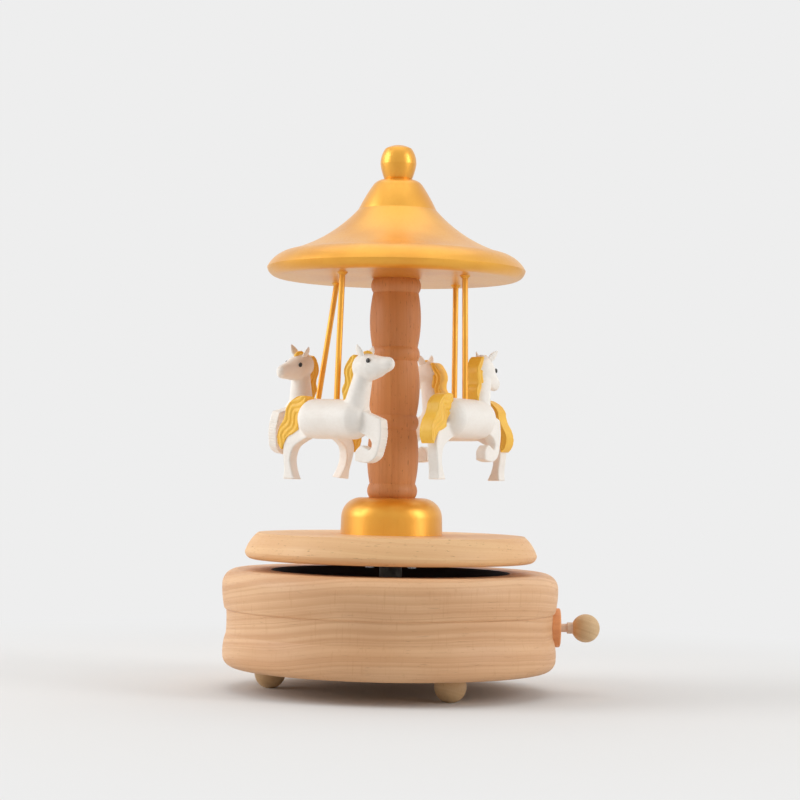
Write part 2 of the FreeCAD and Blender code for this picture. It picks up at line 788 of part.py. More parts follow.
def pole_ends(number):
    """Where the pole leaves the roof and where it meets the horse's back."""
    azimuth, heading, outward, forward, back_z = horses[number]
    top = on_circle(pole_circle_r, azimuth, canopy_z)
    back = on_circle(pole_circle_r + outward, azimuth, back_z) + on_circle(forward, heading)
    return top, back


def pole(number):
    """Straight wire from inside the roof to inside the horse."""
    top, back = pole_ends(number)
    along = (top - back).normalize()
    return bar(pole_r, back - along * pole_depth_in_horse, top + along * pole_depth_in_canopy)


def pole_collar(number):
    """Small cone where the pole meets the roof."""
    top = pole_ends(number)[0]
    cone = Part.makeCone(collar_r, pole_r + 0.2, collar_height, top, -Z_AXIS)
    return cone.cut(pole(number))


def on_horse(shape, number):
    """Carry a piece from the horse's own frame, +X forward, +Z along its pole, to its place."""
    top, back = pole_ends(number)
    upright = FreeCAD.Rotation(Z_AXIS, top - back)
    moved = shape.copy()
    moved.Placement = FreeCAD.Placement(back, upright * FreeCAD.Rotation(Z_AXIS, horses[number][1]))
    return moved


def horse_body(head_drop):
    """Trunk, neck, head and ears as one carved piece."""
    end_bow = dome_bow(trunk_r, trunk_end)
    trunk = lathe([
        (0, trunk_rear),
        (trunk_r, trunk_rear + trunk_end, end_bow),
        (trunk_r, trunk_front - trunk_end),
        (0, trunk_front, end_bow),
    ])
    trunk = placed(trunk, Vector(0, 0, -trunk_r), X_AXIS)
    neck_foot = Vector(8.6, 0, -5.0)
    neck_top = Vector(12.0, 0, 12.0)
    neck = Part.makeCone(4.5, 3.0, (neck_top - neck_foot).Length, neck_foot, neck_top - neck_foot)
    head = lathe([
        (0, 0),
        (head_r, head_r, dome_bow(head_r, head_r)),
        (muzzle_r, head_length - muzzle_r),
        (0, head_length, dome_bow(muzzle_r, muzzle_r)),
    ])
    head = placed(head, Vector(7.0, 0, 10.9), Vector(18.5, 0, 1.0))
    ears = [Part.makeCone(1.4, 0.4, ear_length, Vector(12.0, 2.4 * side, 14.4), Vector(0, 0.6 * side, 1))
            for side in (-1, 1)]
    skull = head.fuse(ears)
    skull.rotate(neck_top, Y_AXIS, head_drop)
    return trunk.fuse([neck, skull])


def horse_legs(body):
    """Foreleg bent under the chest and straight hind leg, each sawn from flat stock."""
    foreleg = slab(leg_thickness, [
        (10.0, -6.0), (12.6, -11.6), (16.6, -13.4), (18.0, -15.5, -0.3), (16.9, -17.4, -0.3),
        (13.5, -15.7), (10.7, -18.1, 0.3), (10.7, -20.9), (15.8, -21.7, 0.2), (20.2, -19.3, 0.5),
        (21.9, -13.1, 0.2), (21.2, -6.8, 0.3), (12.6, -4.2),
    ])
    hind_leg = slab(leg_thickness, [
        (-9.0, -4.0), (-15.4, -8.8), (-20.4, -11.4), (-22.2, -16.4, 0.5), (-21.6, -22.5, 0.1),
        (-21.6, -28.0, -0.3), (-16.2, -28.0), (-18.6, -22.5, -0.3), (-18.3, -18.8, -0.2),
        (-16.2, -15.9, -0.3), (-6.9, -12.0, -0.3),
    ])
    return [foreleg.cut(body), hind_leg.cut(body)]


def horse_mane(body):
    """Wavy slab from between the ears down to the withers."""
    return slab(mane_thickness, [
        (10.5, 13.5), (8.7, 15.2), (6.2, 13.0, 0.3), (4.6, 8.8, 0.5), (5.0, 5.2, -0.3),
        (4.2, 2.2, 0.4), (5.0, -0.6), (8.0, -0.6), (10.0, 6.0),
    ]).cut(body)


def horse_tail(body, legs, lift):
    """Wavy slab from the rump down behind the hind leg."""
    tail = slab(tail_thickness, [
        (-12.0, -4.0), (-12.4, 0.9), (-18.0, -0.2, 0.6), (-21.3, -3.7, 0.4), (-22.6, -8.0, -0.3),
        (-24.7, -12.4, 0.3), (-22.4, -17.9, 0.9), (-20.0, -13.2, -0.3), (-15.1, -10.7, 0.2),
        (-14.4, -7.0, -0.5),
    ])
    tail.rotate(Vector(-12.0, 0, -2.0), Y_AXIS, lift)
    return tail.cut([body] + legs)


# ---- The whole assembly
def assembly():
    """Every node's shape, with groups of like solids as lists."""
    numbers = sorted(horses)
    feet = {name: foot(azimuth) for name, azimuth in foot_azimuths.items()}
    mounting = bedplate_screws()
    fixing = bearing_screws()
    cup_screws = housing_screws()
    plate_screws = comb_screws()
    flange_screws = hub_screws()
    wire = brake_wire()
    rod = switch_rod(wire)
    poles = [pole(number) for number in numbers]
    cylinder_bore = bar(cylinder_arbor_r + running_clearance, Vector(0, 0, cylinder_z),
                        Vector(cavity_r, 0, cylinder_z))
    transfer_bore = bar(transfer_arbor_r + running_clearance, Vector(0, transfer_y, transfer_z),
                        Vector(cavity_r, transfer_y, transfer_z))
    nodes = dict(feet)
    nodes["base_body"] = base_body(list(feet.values()), screw_wells())
    nodes["switch_washer"] = switch_washer()
    nodes["bedplate"] = bedplate(mounting + fixing + cup_screws)
    nodes["bedplate_screws"] = mounting
    nodes["spring_housing"] = spring_housing(cup_screws)
    nodes["housing_screws"] = cup_screws
    nodes["mainspring"] = mainspring()
    nodes["bearing_inner"] = bearing(bearing_inner_x, bearing_inner_x + bearing_thickness,
                                     -bearing_half_width, fixing + [cylinder_bore])
    nodes["bearing_outer"] = bearing(bearing_outer_x, bearing_outer_x - bearing_foot_length,
                                     transfer_y - 2.2, fixing + [cylinder_bore, transfer_bore])
    nodes["bearing_screws"] = fixing
    nodes["governor_frame"] = governor_frame(fixing + [transfer_bore])
    nodes["comb"] = comb(plate_screws)
    nodes["comb_base"] = comb_base(plate_screws)
    nodes["comb_screws"] = plate_screws
    nodes["winding_arbor"] = winding_arbor()
    nodes["crown_wheel"] = crown_wheel()
    nodes["drive_hub"] = drive_hub(flange_screws)
    nodes["hub_screws"] = flange_screws
    nodes["pin_cylinder"] = pin_cylinder()
    nodes["cylinder_pinion"] = arbor_gear(pinion_teeth, pinion_pitch_r, pinion_addendum, pinion_dedendum,
                                          crown_inner_r, crown_outer_r - crown_inner_r, 0, cylinder_z,
                                          0, cylinder_arbor_r)
    nodes["governor_gear"] = arbor_gear(governor_gear_teeth, governor_gear_r, governor_addendum,
                                        governor_dedendum, governor_gear_x, governor_gear_width, 0,
                                        cylinder_z, governor_phase(), cylinder_arbor_r)
    nodes["transfer_arbor"] = transfer_arbor()
    nodes["worm_wheel"] = arbor_gear(worm_wheel_teeth, worm_wheel_r, worm_wheel_addendum, governor_dedendum,
                                     worm_x - worm_wheel_width / 2, worm_wheel_width, transfer_y,
                                     transfer_z, -90, transfer_arbor_r)
    nodes["governor_worm"] = governor_worm()
    nodes["governor_fan"] = governor_fan()
    nodes["switch_rod"] = rod
    nodes["switch_knob"] = switch_knob(rod)
    nodes["brake_wire"] = wire
    nodes["brake_pad"] = brake_pad(wire)
    nodes["turntable"] = turntable(flange_screws)
    nodes["boss"] = boss()
    nodes["column"] = column()
    nodes["canopy"] = canopy(poles)
    nodes["finial"] = finial()
    nodes["pole_collars"] = [pole_collar(number) for number in numbers]
    for number, rod_of_horse in zip(numbers, poles):
        body = horse_body(head_drops[number])
        legs = horse_legs(body)
        mane = horse_mane(body)
        tail = horse_tail(body, legs, tail_lifts[number])
        nodes["pole_%d" % number] = rod_of_horse
        nodes["horse_%d" % number] = on_horse(body, number).cut(rod_of_horse)
        nodes["legs_%d" % number] = [on_horse(leg, number) for leg in legs]
        nodes["mane_%d" % number] = on_horse(mane, number)
        nodes["tail_%d" % number] = on_horse(tail, number)
    return nodes


def main():
    os.makedirs("parts", exist_ok=True)
    for name, shape in assembly().items():
        if isinstance(shape, list):
            shape = Part.makeCompound(shape)
        shape.exportStep("parts/%s.step" % name)


main()
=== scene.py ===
import json
import math

import bmesh
import bpy
import numpy as np
from mathutils import Matrix, Vector


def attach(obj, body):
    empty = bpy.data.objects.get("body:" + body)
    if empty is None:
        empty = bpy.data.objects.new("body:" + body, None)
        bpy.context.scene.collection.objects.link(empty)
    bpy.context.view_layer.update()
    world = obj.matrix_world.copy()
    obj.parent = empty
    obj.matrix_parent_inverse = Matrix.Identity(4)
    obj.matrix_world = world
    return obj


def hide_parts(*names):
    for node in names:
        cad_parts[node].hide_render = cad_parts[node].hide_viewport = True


# The looks of a wind up music box, a wooden carousel with four carved horses.
# Lengths are metres where they name a place in the frame, and millimetres inside the pieces and finishes.
MM = 0.001

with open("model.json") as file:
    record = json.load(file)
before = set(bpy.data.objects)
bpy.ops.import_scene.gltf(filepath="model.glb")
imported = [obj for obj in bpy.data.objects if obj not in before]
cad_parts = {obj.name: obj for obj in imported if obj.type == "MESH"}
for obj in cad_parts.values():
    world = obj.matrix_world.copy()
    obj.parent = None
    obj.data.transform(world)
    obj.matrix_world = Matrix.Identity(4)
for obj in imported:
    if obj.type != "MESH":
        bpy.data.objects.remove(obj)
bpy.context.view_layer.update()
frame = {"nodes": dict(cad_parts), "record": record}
nodes = frame["nodes"]
HORSES = (1, 2, 3, 4)


# ---- Finishes: each is a node material whose pattern is laid out in millimetres over the object
def shade(red, green, blue):
    """A colour as it shows on a screen, 0 to 255, as the linear values that a shader takes."""
    linear = [(c / 255) / 12.92 if c <= 10 else ((c / 255 + 0.055) / 1.055) ** 2.4 for c in (red, green, blue)]
    return (*linear, 1.0)


class Finish:
    """A Principled material and the few kinds of node that the patterns are made of."""

    def __init__(self, name, **sockets):
        self.material = bpy.data.materials.new(name)
        self.material.use_nodes = True
        self.tree = self.material.node_tree
        self.shader = self.tree.nodes["Principled BSDF"]
        self.place = self.node("TexCoord").outputs["Object"]
        for socket, value in sockets.items():
            self.shader.inputs[socket.replace("_", " ")].default_value = value

    def node(self, kind, inputs=(), **settings):
        made = self.tree.nodes.new("ShaderNode" + kind)
        for setting, value in settings.items():
            setattr(made, setting, value)
        for socket, value in dict(inputs).items():
            self.feed(made.inputs[socket], value)
        return made

    def feed(self, socket, value):
        if isinstance(value, bpy.types.NodeSocket):
            self.tree.links.new(value, socket)
        else:
            socket.default_value = value

    def stretch(self, x, y, z, turn=(0.0, 0.0, 0.0), shift=(0.0, 0.0, 0.0)):
        """The place on the object, with so many pattern units to the millimetre along each axis."""
        turned = self.node("VectorRotate", {"Vector": self.place, "Rotation": turn}, rotation_type="EULER_XYZ")
        scale = (x / MM, y / MM, z / MM)
        return self.node("Mapping", {"Vector": turned.outputs[0], "Scale": scale, "Location": shift}).outputs[0]

    def noise(self, vector, detail=2.0, roughness=0.5, distortion=0.0):
        inputs = {"Vector": vector, "Scale": 1.0, "Detail": detail, "Roughness": roughness, "Distortion": distortion}
        return self.node("TexNoise", inputs).outputs[0]

    def lines(self, value, detail=3.0, roughness=0.6):
        """Uneven bands that follow one value."""
        inputs = {"W": value, "Scale": 1.0, "Detail": detail, "Roughness": roughness}
        return self.node("TexNoise", inputs, noise_dimensions="1D").outputs[0]

    def sum(self, a, b, how="ADD"):
        return self.node("Math", {0: a, 1: b}, operation=how).outputs[0]

    def spread(self, value, low, high, to_low=0.0, to_high=1.0):
        """value from low to high, eased and clamped, as to_low to to_high."""
        inputs = {"Value": value, "From Min": low, "From Max": high, "To Min": to_low, "To Max": to_high}
        return self.node("MapRange", inputs, interpolation_type="SMOOTHSTEP").outputs[0]

    def mix(self, factor, a, b, how="MIX"):
        mixer = self.node("Mix", {0: factor, 6: a, 7: b}, data_type="RGBA", blend_type=how)
        return mixer.outputs[2]

    def bump(self, height, distance, below=None):
        inputs = {"Height": height, "Strength": 1.0, "Distance": distance * MM}
        if below is not None:
            inputs["Normal"] = below
        return self.node("Bump", inputs).outputs[0]

    def wear(self, colour, roughness=None, normal=None):
        self.feed(self.shader.inputs["Base Color"], colour)
        if roughness is not None:
            self.feed(self.shader.inputs["Roughness"], roughness)
        if normal is not None:
            self.feed(self.shader.inputs["Normal"], normal)
        return self.material


def wood(name, pale, dark, ring_gap, tilt, ring_depth, fleck_size, fleck_depth, tick_depth, roughness=0.5,
         painted_shade_bore_r=0.0):
    """Bare sanded wood: growth rings across Z, short pores along X and rays that cross both, and painted shade, a
    near-black brown, inside a bore of the given radius.
    """
    finish = Finish(name, Roughness=roughness)
    warp = finish.noise(finish.stretch(0.018, 0.018, 0.03), detail=1.0)
    split = finish.node("SeparateXYZ", {"Vector": finish.place})
    lean_x = finish.sum(split.outputs[0], tilt[0] / MM, "MULTIPLY")
    lean_y = finish.sum(split.outputs[1], tilt[1] / MM, "MULTIPLY")
    up = finish.sum(split.outputs[2], 1 / MM, "MULTIPLY")
    level = finish.sum(finish.sum(up, lean_x), lean_y)
    wavy = finish.sum(level, finish.sum(warp, 6.0, "MULTIPLY"))
    rings = finish.lines(finish.sum(wavy, 1 / ring_gap, "MULTIPLY"), detail=4.0, roughness=0.65)
    ring = finish.spread(rings, 0.36, 0.66)
    fine = finish.noise(finish.stretch(*fleck_size), detail=2.0, roughness=0.6, distortion=0.4)
    fleck = finish.spread(fine, 0.64, 0.74)
    cross = finish.noise(finish.stretch(1.1, 1.1, 0.07), detail=3.0, roughness=0.6)
    ray = finish.spread(cross, 0.56, 0.72)
    patch = finish.spread(finish.noise(finish.stretch(0.022, 0.022, 0.05, shift=(3.0, 1.0, 2.0))), 0.3, 0.7)
    fleck_colour = tuple(c * 0.55 for c in dark[:3]) + (1.0,)
    colour = finish.mix(finish.sum(ring, ring_depth, "MULTIPLY"), pale, dark)
    colour = finish.mix(finish.sum(patch, 0.35, "MULTIPLY"), colour, dark)
    colour = finish.mix(finish.sum(ray, tick_depth, "MULTIPLY"), colour, dark)
    colour = finish.mix(finish.sum(fleck, fleck_depth, "MULTIPLY"), colour, fleck_colour)
    # Painted shade: inside the bore radius and higher than 9 mm, the wood is mixed fully to a near-black brown, for
    # the shade in the cavity under the turntable.
    if painted_shade_bore_r:
        flat = finish.node("VectorMath", {0: finish.place, 1: (1.0, 1.0, 0.0)}, operation="MULTIPLY").outputs[0]
        radius = finish.node("VectorMath", {0: flat}, operation="LENGTH").outputs["Value"]
        inside = finish.sum(radius, painted_shade_bore_r * MM, "LESS_THAN")
        above = finish.sum(split.outputs[2], 9.0 * MM, "GREATER_THAN")
        colour = finish.mix(finish.sum(inside, above, "MULTIPLY"), colour, shade(58, 30, 16))
    dents = finish.bump(finish.sum(ring, finish.sum(fleck, -1.0, "MULTIPLY")), 0.05)
    gloss = finish.spread(fine, 0.3, 0.7, roughness - 0.06, roughness + 0.08)
    return finish.wear(colour, gloss, dents)


def gold(name, bright, deep, roughness, metallic):
    """Gold paint over sanded wood: soft metallic sheen, faint grain and a few rubbed spots."""
    finish = Finish(name, Metallic=metallic, Roughness=roughness, Coat_Weight=0.45, Coat_Roughness=0.3)
    patch = finish.spread(finish.noise(finish.stretch(0.05, 0.05, 0.05), detail=3.0), 0.35, 0.7)
    grain = finish.noise(finish.stretch(1.2, 1.2, 0.12), detail=3.0, roughness=0.6)
    dust = finish.noise(finish.stretch(3.0, 3.0, 3.0), detail=1.0)
    colour = finish.mix(finish.sum(patch, 0.6, "MULTIPLY"), bright, deep)
    colour = finish.mix(finish.spread(grain, 0.55, 0.8, 0.0, 0.25), colour, deep)
    gloss = finish.spread(grain, 0.3, 0.75, roughness - 0.05, roughness + 0.08)
    relief = finish.bump(dust, 0.012, finish.bump(grain, 0.03))
    return finish.wear(colour, gloss, relief)


def painted(name, base, shadow, roughness, brush):
    """Brushed matt paint with soft uneven strokes."""
    finish = Finish(name, Roughness=roughness)
    stroke = finish.noise(finish.stretch(*brush), detail=3.0, roughness=0.6, distortion=0.3)
    patch = finish.noise(finish.stretch(0.12, 0.12, 0.12), detail=2.0)
    colour = finish.mix(finish.spread(stroke, 0.35, 0.8, 0.0, 0.35), base, shadow)
    colour = finish.mix(finish.spread(patch, 0.4, 0.8, 0.0, 0.4), colour, shadow)
    gloss = finish.spread(stroke, 0.3, 0.7, roughness - 0.06, roughness + 0.1)
    return finish.wear(colour, gloss, finish.bump(stroke, 0.05))


def metal(name, base, tarnish, roughness):
    """Machined metal with fine turning marks and a little tarnish."""
    finish = Finish(name, Metallic=1.0, Roughness=roughness)
    marks = finish.noise(finish.stretch(0.4, 6.0, 6.0), detail=2.0)
    patch = finish.noise(finish.stretch(0.3, 0.3, 0.3), detail=3.0)
    colour = finish.mix(finish.spread(patch, 0.35, 0.75), base, tarnish)
    gloss = finish.spread(marks, 0.3, 0.7, roughness - 0.08, roughness + 0.12)
    return finish.wear(colour, gloss, finish.bump(marks, 0.01))


def fibre(name, base, shadow):
    """Pressed felt."""
    finish = Finish(name, Roughness=0.95)
    fluff = finish.noise(finish.stretch(4.0, 4.0, 4.0), detail=4.0, roughness=0.7)
    colour = finish.mix(finish.spread(fluff, 0.3, 0.7), base, shadow)
    return finish.wear(colour, None, finish.bump(fluff, 0.15))


def make_finishes():
    """One finish for each material slot of the record."""
    return {
        # The base's beech gets painted shade inside its 42.4 mm bore, the cavity under the turntable.
        "beech": wood("beech", shade(234, 190, 146), shade(198, 140, 92), 3.0, (-0.05, 0.09), 0.5,
                      (0.22, 0.22, 2.6), 0.25, 0.25, painted_shade_bore_r=42.4),
        "turntable_beech": wood("turntable_beech", shade(238, 194, 142), shade(220, 162, 110), 4.5, (0.05, 0.02),
                                0.45, (0.28, 0.5, 2.2), 0.6, 0.15),
        "column_wood": wood("column_wood", shade(214, 144, 84), shade(178, 104, 50), 50.0, (30.0, 8.0), 0.3,
                            (1.7, 1.7, 0.3), 0.75, 0.3),
        "ball_wood": wood("ball_wood", shade(222, 188, 142), shade(196, 158, 112), 2.5, (0.3, 0.1), 0.4,
                          (2.0, 2.0, 0.3), 0.3, 0.2),
        "rod_wood": wood("rod_wood", shade(232, 208, 184), shade(214, 180, 148), 3.0, (0.0, 0.3), 0.4,
                         (0.2, 2.0, 2.0), 0.3, 0.1),
        "washer_wood": wood("washer_wood", shade(238, 168, 112), shade(218, 138, 82), 3.0, (0.0, 0.3), 0.4,
                            (1.6, 0.3, 2.0), 0.3, 0.1),
        "gold_paint": gold("gold_paint", shade(240, 174, 60), shade(224, 150, 38), 0.36, 0.68),
        "white_paint": painted("white_paint", shade(248, 243, 236), shade(236, 228, 218), 0.5, (0.3, 1.2, 1.2)),
        "hair_gold": painted("hair_gold", shade(250, 198, 74), shade(236, 172, 44), 0.42, (1.0, 1.0, 0.25)),
        "plate_steel": metal("plate_steel", shade(112, 106, 98), shade(78, 72, 66), 0.4),
        "gear_brass": metal("gear_brass", shade(214, 178, 108), shade(176, 138, 78), 0.28),
        "arbor_steel": metal("arbor_steel", shade(104, 104, 108), shade(72, 72, 76), 0.3),
        "screw_steel": metal("screw_steel", shade(206, 208, 212), shade(166, 168, 172), 0.22),
        "felt": fibre("felt", shade(150, 60, 52), shade(112, 40, 36)),
    }


def paint_cad_nodes(finishes):
    """Every CAD node takes the finish of its slot in the record."""
    for part in frame["record"]["subparts"]:
        slots = nodes[part["node"]].data.materials
        slots.clear()
        slots.append(finishes[part["material_slot"]])


# ---- Stage: pale floor, soft lamps and the camera
BACKDROP = shade(238, 238, 238)[0]


def make_world(level=0.72):
    """Even pale surroundings, which the camera and reflections see as a plain backdrop."""
    world = bpy.data.worlds.new("studio")
    world.use_nodes = True
    bpy.context.scene.world = world
    tree = world.node_tree
    tree.nodes.clear()
    path = tree.nodes.new("ShaderNodeLightPath")
    seen = tree.nodes.new("ShaderNodeMath")
    seen.operation = "MAXIMUM"
    tree.links.new(path.outputs["Is Camera Ray"], seen.inputs[0])
    tree.links.new(path.outputs["Is Transmission Ray"], seen.inputs[1])
    shown = tree.nodes.new("ShaderNodeMath")
    shown.operation = "MAXIMUM"
    tree.links.new(seen.outputs[0], shown.inputs[0])
    tree.links.new(path.outputs["Is Glossy Ray"], shown.inputs[1])
    soft = tree.nodes.new("ShaderNodeBackground")
    soft.inputs["Color"].default_value = (1.0, 0.99, 0.97, 1.0)
    side = tree.nodes.new("ShaderNodeTexCoord")
    split = tree.nodes.new("ShaderNodeSeparateXYZ")
    tree.links.new(side.outputs["Generated"], split.inputs[0])
    dimmed = tree.nodes.new("ShaderNodeMapRange")
    dimmed.inputs["From Min"].default_value = -1.0
    dimmed.inputs["From Max"].default_value = 0.3
    dimmed.inputs["To Min"].default_value = 0.15 * level
    dimmed.inputs["To Max"].default_value = 1.3 * level
    tree.links.new(split.outputs[1], dimmed.inputs["Value"])
    tree.links.new(dimmed.outputs[0], soft.inputs["Strength"])
    plain = tree.nodes.new("ShaderNodeBackground")
    plain.inputs["Color"].default_value = (BACKDROP, BACKDROP, BACKDROP, 1.0)
    blend = tree.nodes.new("ShaderNodeMixShader")
    tree.links.new(shown.outputs[0], blend.inputs[0])
    tree.links.new(soft.outputs[0], blend.inputs[1])
    tree.links.new(plain.outputs[0], blend.inputs[2])
    output = tree.nodes.new("ShaderNodeOutputWorld")
    tree.links.new(blend.outputs[0], output.inputs["Surface"])


def make_floor(radius=3.0):
    """A floor that keeps the object's shadow near it and runs into the backdrop further out."""
    mesh = bpy.data.meshes.new("floor")
    shape = bmesh.new()
    bmesh.ops.create_circle(shape, cap_ends=True, segments=96, radius=radius)
    shape.to_mesh(mesh)
    shape.free()
    floor = bpy.data.objects.new("floor", mesh)
    bpy.context.collection.objects.link(floor)
    finish = Finish("floor", Roughness=0.9)
    finish.shader.inputs["Base Color"].default_value = (0.73, 0.73, 0.73, 1.0)
    finish.shader.inputs["Specular IOR Level"].default_value = 0.0
    distance = finish.node("VectorMath", {0: finish.place}, operation="LENGTH").outputs["Value"]
    away = finish.spread(distance, 0.16, 0.34)
    plain = finish.node("Emission", {"Color": (BACKDROP, BACKDROP, BACKDROP, 1.0), "Strength": 1.0})
    path = finish.node("LightPath")
    shown = finish.sum(path.outputs["Is Camera Ray"], path.outputs["Is Transmission Ray"], "MAXIMUM")
    fade = finish.sum(away, shown, "MULTIPLY")
    blend = finish.node("MixShader", {0: fade, 1: finish.shader.outputs[0], 2: plain.outputs[0]})
    output = finish.tree.nodes["Material Output"]
    finish.tree.links.new(blend.outputs[0], output.inputs["Surface"])
    mesh.materials.append(finish.material)
    return floor


def lamp(name, position, target, size, power, colour=(1.0, 1.0, 1.0)):
    """A square soft lamp that looks from position to target."""
    light = bpy.data.lights.new(name, "AREA")
    light.shape = "RECTANGLE"
    light.size, light.size_y = size
    light.energy = power
    light.color = colour
    holder = bpy.data.objects.new(name, light)
    holder.location = position
    holder.rotation_euler = (Vector(target) - Vector(position)).to_track_quat("-Z", "Y").to_euler()
    bpy.context.collection.objects.link(holder)
    return holder


def make_lamps():
    middle = (0.0, 0.0, 0.1)
    lamp("left_softbox", (-1.1, -0.12, 0.6), middle, (0.7, 0.9), 7.0)
    lamp("right_softbox", (1.0, -0.4, 0.5), middle, (0.4, 0.8), 4.4)
    lamp("top_softbox", (0.0, 0.1, 1.2), middle, (1.2, 1.2), 3.2)


def make_camera():
    """Low camera in front, turned up a little and rolled, as the object was seen."""
    camera = bpy.data.cameras.new("camera")
    camera.lens = 97.0
    camera.sensor_width = 36.0
    holder = bpy.data.objects.new("camera", camera)
    bpy.context.collection.objects.link(holder)
    tilt_up = Matrix.Rotation(math.radians(90.0 + 1.755), 4, "X")
    roll = Matrix.Rotation(math.radians(1.1), 4, "Z")
    holder.matrix_world = Matrix.Translation((0.00217, -0.766, 0.0793)) @ tilt_up @ roll
    bpy.context.scene.camera = holder


# ---- Shapes in a horse's own frame: (forward, left, up) in millimetres from the pole's hole in its back
def bowed(points, step=0.6):
    """The corners of an outline of (a, b) points, where (a, b, bow) is reached by an arc that swells outward."""
    corners = []
    for index, point in enumerate(points):
        start = Vector(points[index - 1][:2])
        end = Vector(point[:2])
        bow = point[2] if len(point) > 2 else 0.0
        if bow:
            along = end - start
            outward = Vector((along.y, -along.x)).normalized()
            count = max(2, int(along.length / step))
            for part in range(1, count):
                share = part / count
                corners.append(start + along * share + outward * bow * 4 * share * (1 - share))
        corners.append(end)
    return corners


def slab(shape, thickness, outline):
    """A flat sawn piece, centred on the horse's middle plane."""
    corners = bowed(outline)
    sides = []
    for left in (-thickness / 2, thickness / 2):
        sides.append([shape.verts.new((corner.x, left, corner.y)) for corner in corners])
    shape.faces.new(sides[0])
    shape.faces.new(list(reversed(sides[1])))
    count = len(corners)
    for index in range(count):
        after = (index + 1) % count
        shape.faces.new((sides[0][after], sides[0][index], sides[1][index], sides[1][after]))


def limb(shape, stations, width=1.0, ring=40):
    """A closed round form through stations of (forward, up, radius), with rounded ends."""
    centres = [Vector((u, 0.0, w)) for u, w, radius in stations]
    radii = [radius for u, w, radius in stations]
    rings = []
    for index, centre in enumerate(centres):
        before = centres[max(index - 1, 0)]
        after = centres[min(index + 1, len(centres) - 1)]
        along = (after - before).normalized()
        up = along.cross(Vector((0.0, 1.0, 0.0)))
        row = []
        for step in range(ring):
            angle = 2 * math.pi * step / ring
            offset = up * math.cos(angle) + Vector((0.0, width, 0.0)) * math.sin(angle)
            row.append(shape.verts.new(centre + offset * radii[index]))
        rings.append(row)
    for low, high in zip(rings, rings[1:]):
        for step in range(ring):
            after = (step + 1) % ring
            shape.faces.new((low[step], low[after], high[after], high[step]))
    shape.faces.new(list(reversed(rings[0])))
    shape.faces.new(rings[-1])


def domed(start, end, steps=7):
    """Stations that round off the end of a limb, from start to end, both (forward, up, radius)."""
    made = []
    for index in range(1, steps + 1):
        share = index / steps
        reach = math.sin(share * math.pi / 2)
        radius = start[2] * math.sqrt(max(0.0, 1 - reach ** 2)) + 0.05
        made.append((start[0] + (end[0] - start[0]) * reach, start[1] + (end[1] - start[1]) * reach, radius))
    return made


def melted(name, shape, grain, softening):
    """The mesh of overlapping closed forms after they are merged into one skin and smoothed."""
    bmesh.ops.recalc_face_normals(shape, faces=shape.faces)
    rough = bpy.data.meshes.new(name + "_rough")
    shape.to_mesh(rough)
    shape.free()
    holder = bpy.data.objects.new(name + "_rough", rough)
    bpy.context.collection.objects.link(holder)
    merge = holder.modifiers.new("merge", "REMESH")
    merge.mode = "VOXEL"
    merge.voxel_size = grain
    merge.use_smooth_shade = True
    smooth = holder.modifiers.new("smooth", "SMOOTH")
    smooth.factor = 0.5
    smooth.iterations = softening
    bpy.context.view_layer.update()
    graph = bpy.context.evaluated_depsgraph_get()
    mesh = bpy.data.meshes.new_from_object(holder.evaluated_get(graph))
    bpy.data.objects.remove(holder)
    mesh.name = name
    return mesh


def carve(mesh, depth_at):
    """Push the flat sides of a slab in by depth_at(forward, up) millimetres."""
    count = len(mesh.vertices)
    places = np.zeros(count * 3)
    normals = np.zeros(count * 3)
    mesh.vertices.foreach_get("co", places)
    mesh.vertices.foreach_get("normal", normals)
    places = places.reshape(-1, 3)
    facing = normals.reshape(-1, 3)[:, 1]
    depth = depth_at(places[:, 0], places[:, 2])
    places[:, 1] -= np.sign(facing) * np.clip(np.abs(facing) * 2 - 1, 0, 1) * depth
    mesh.vertices.foreach_set("co", places.ravel())
    mesh.update()


HEAD_PIVOT = (12.0, 12.0)
TAIL_PIVOT = (-12.0, -2.0)
HEAD_DROPS = {1: 0.0, 2: 36.0, 3: 20.0, 4: 25.0}
TAIL_LIFTS = {1: 0.0, 2: 9.0, 3: 0.0, 4: 0.0}


def swung(points, pivot, degrees):
    """(forward, up, ...) points turned about a pivot; positive lowers the nose and lifts the tail."""
    cosine = math.cos(math.radians(degrees))
    sine = math.sin(math.radians(degrees))
    made = []
    for point in points:
        ahead = point[0] - pivot[0]
        above = point[1] - pivot[1]
        place = (pivot[0] + ahead * cosine + above * sine, pivot[1] + above * cosine - ahead * sine)
        made.append(place + tuple(point[2:]))
    return made


def swing(vertices, pivot, degrees):
    """Vertices turned in place about a pivot line that runs from side to side."""
    for vertex in vertices:
        place = swung([(vertex.co.x, vertex.co.z)], pivot, degrees)[0]
        vertex.co.x, vertex.co.z = place


def notch(mesh, low, high, pitch, depth):
    """Short cuts across the foreleg's front edge, between two heights."""
    for vertex in mesh.vertices:
        if vertex.co.x > 17.0 and low < vertex.co.z < high and vertex.normal.x > 0.3:
            cut = max(0.0, math.cos(2 * math.pi * vertex.co.z / pitch)) ** 2
            vertex.co.x -= depth * cut * vertex.normal.x
    mesh.update()


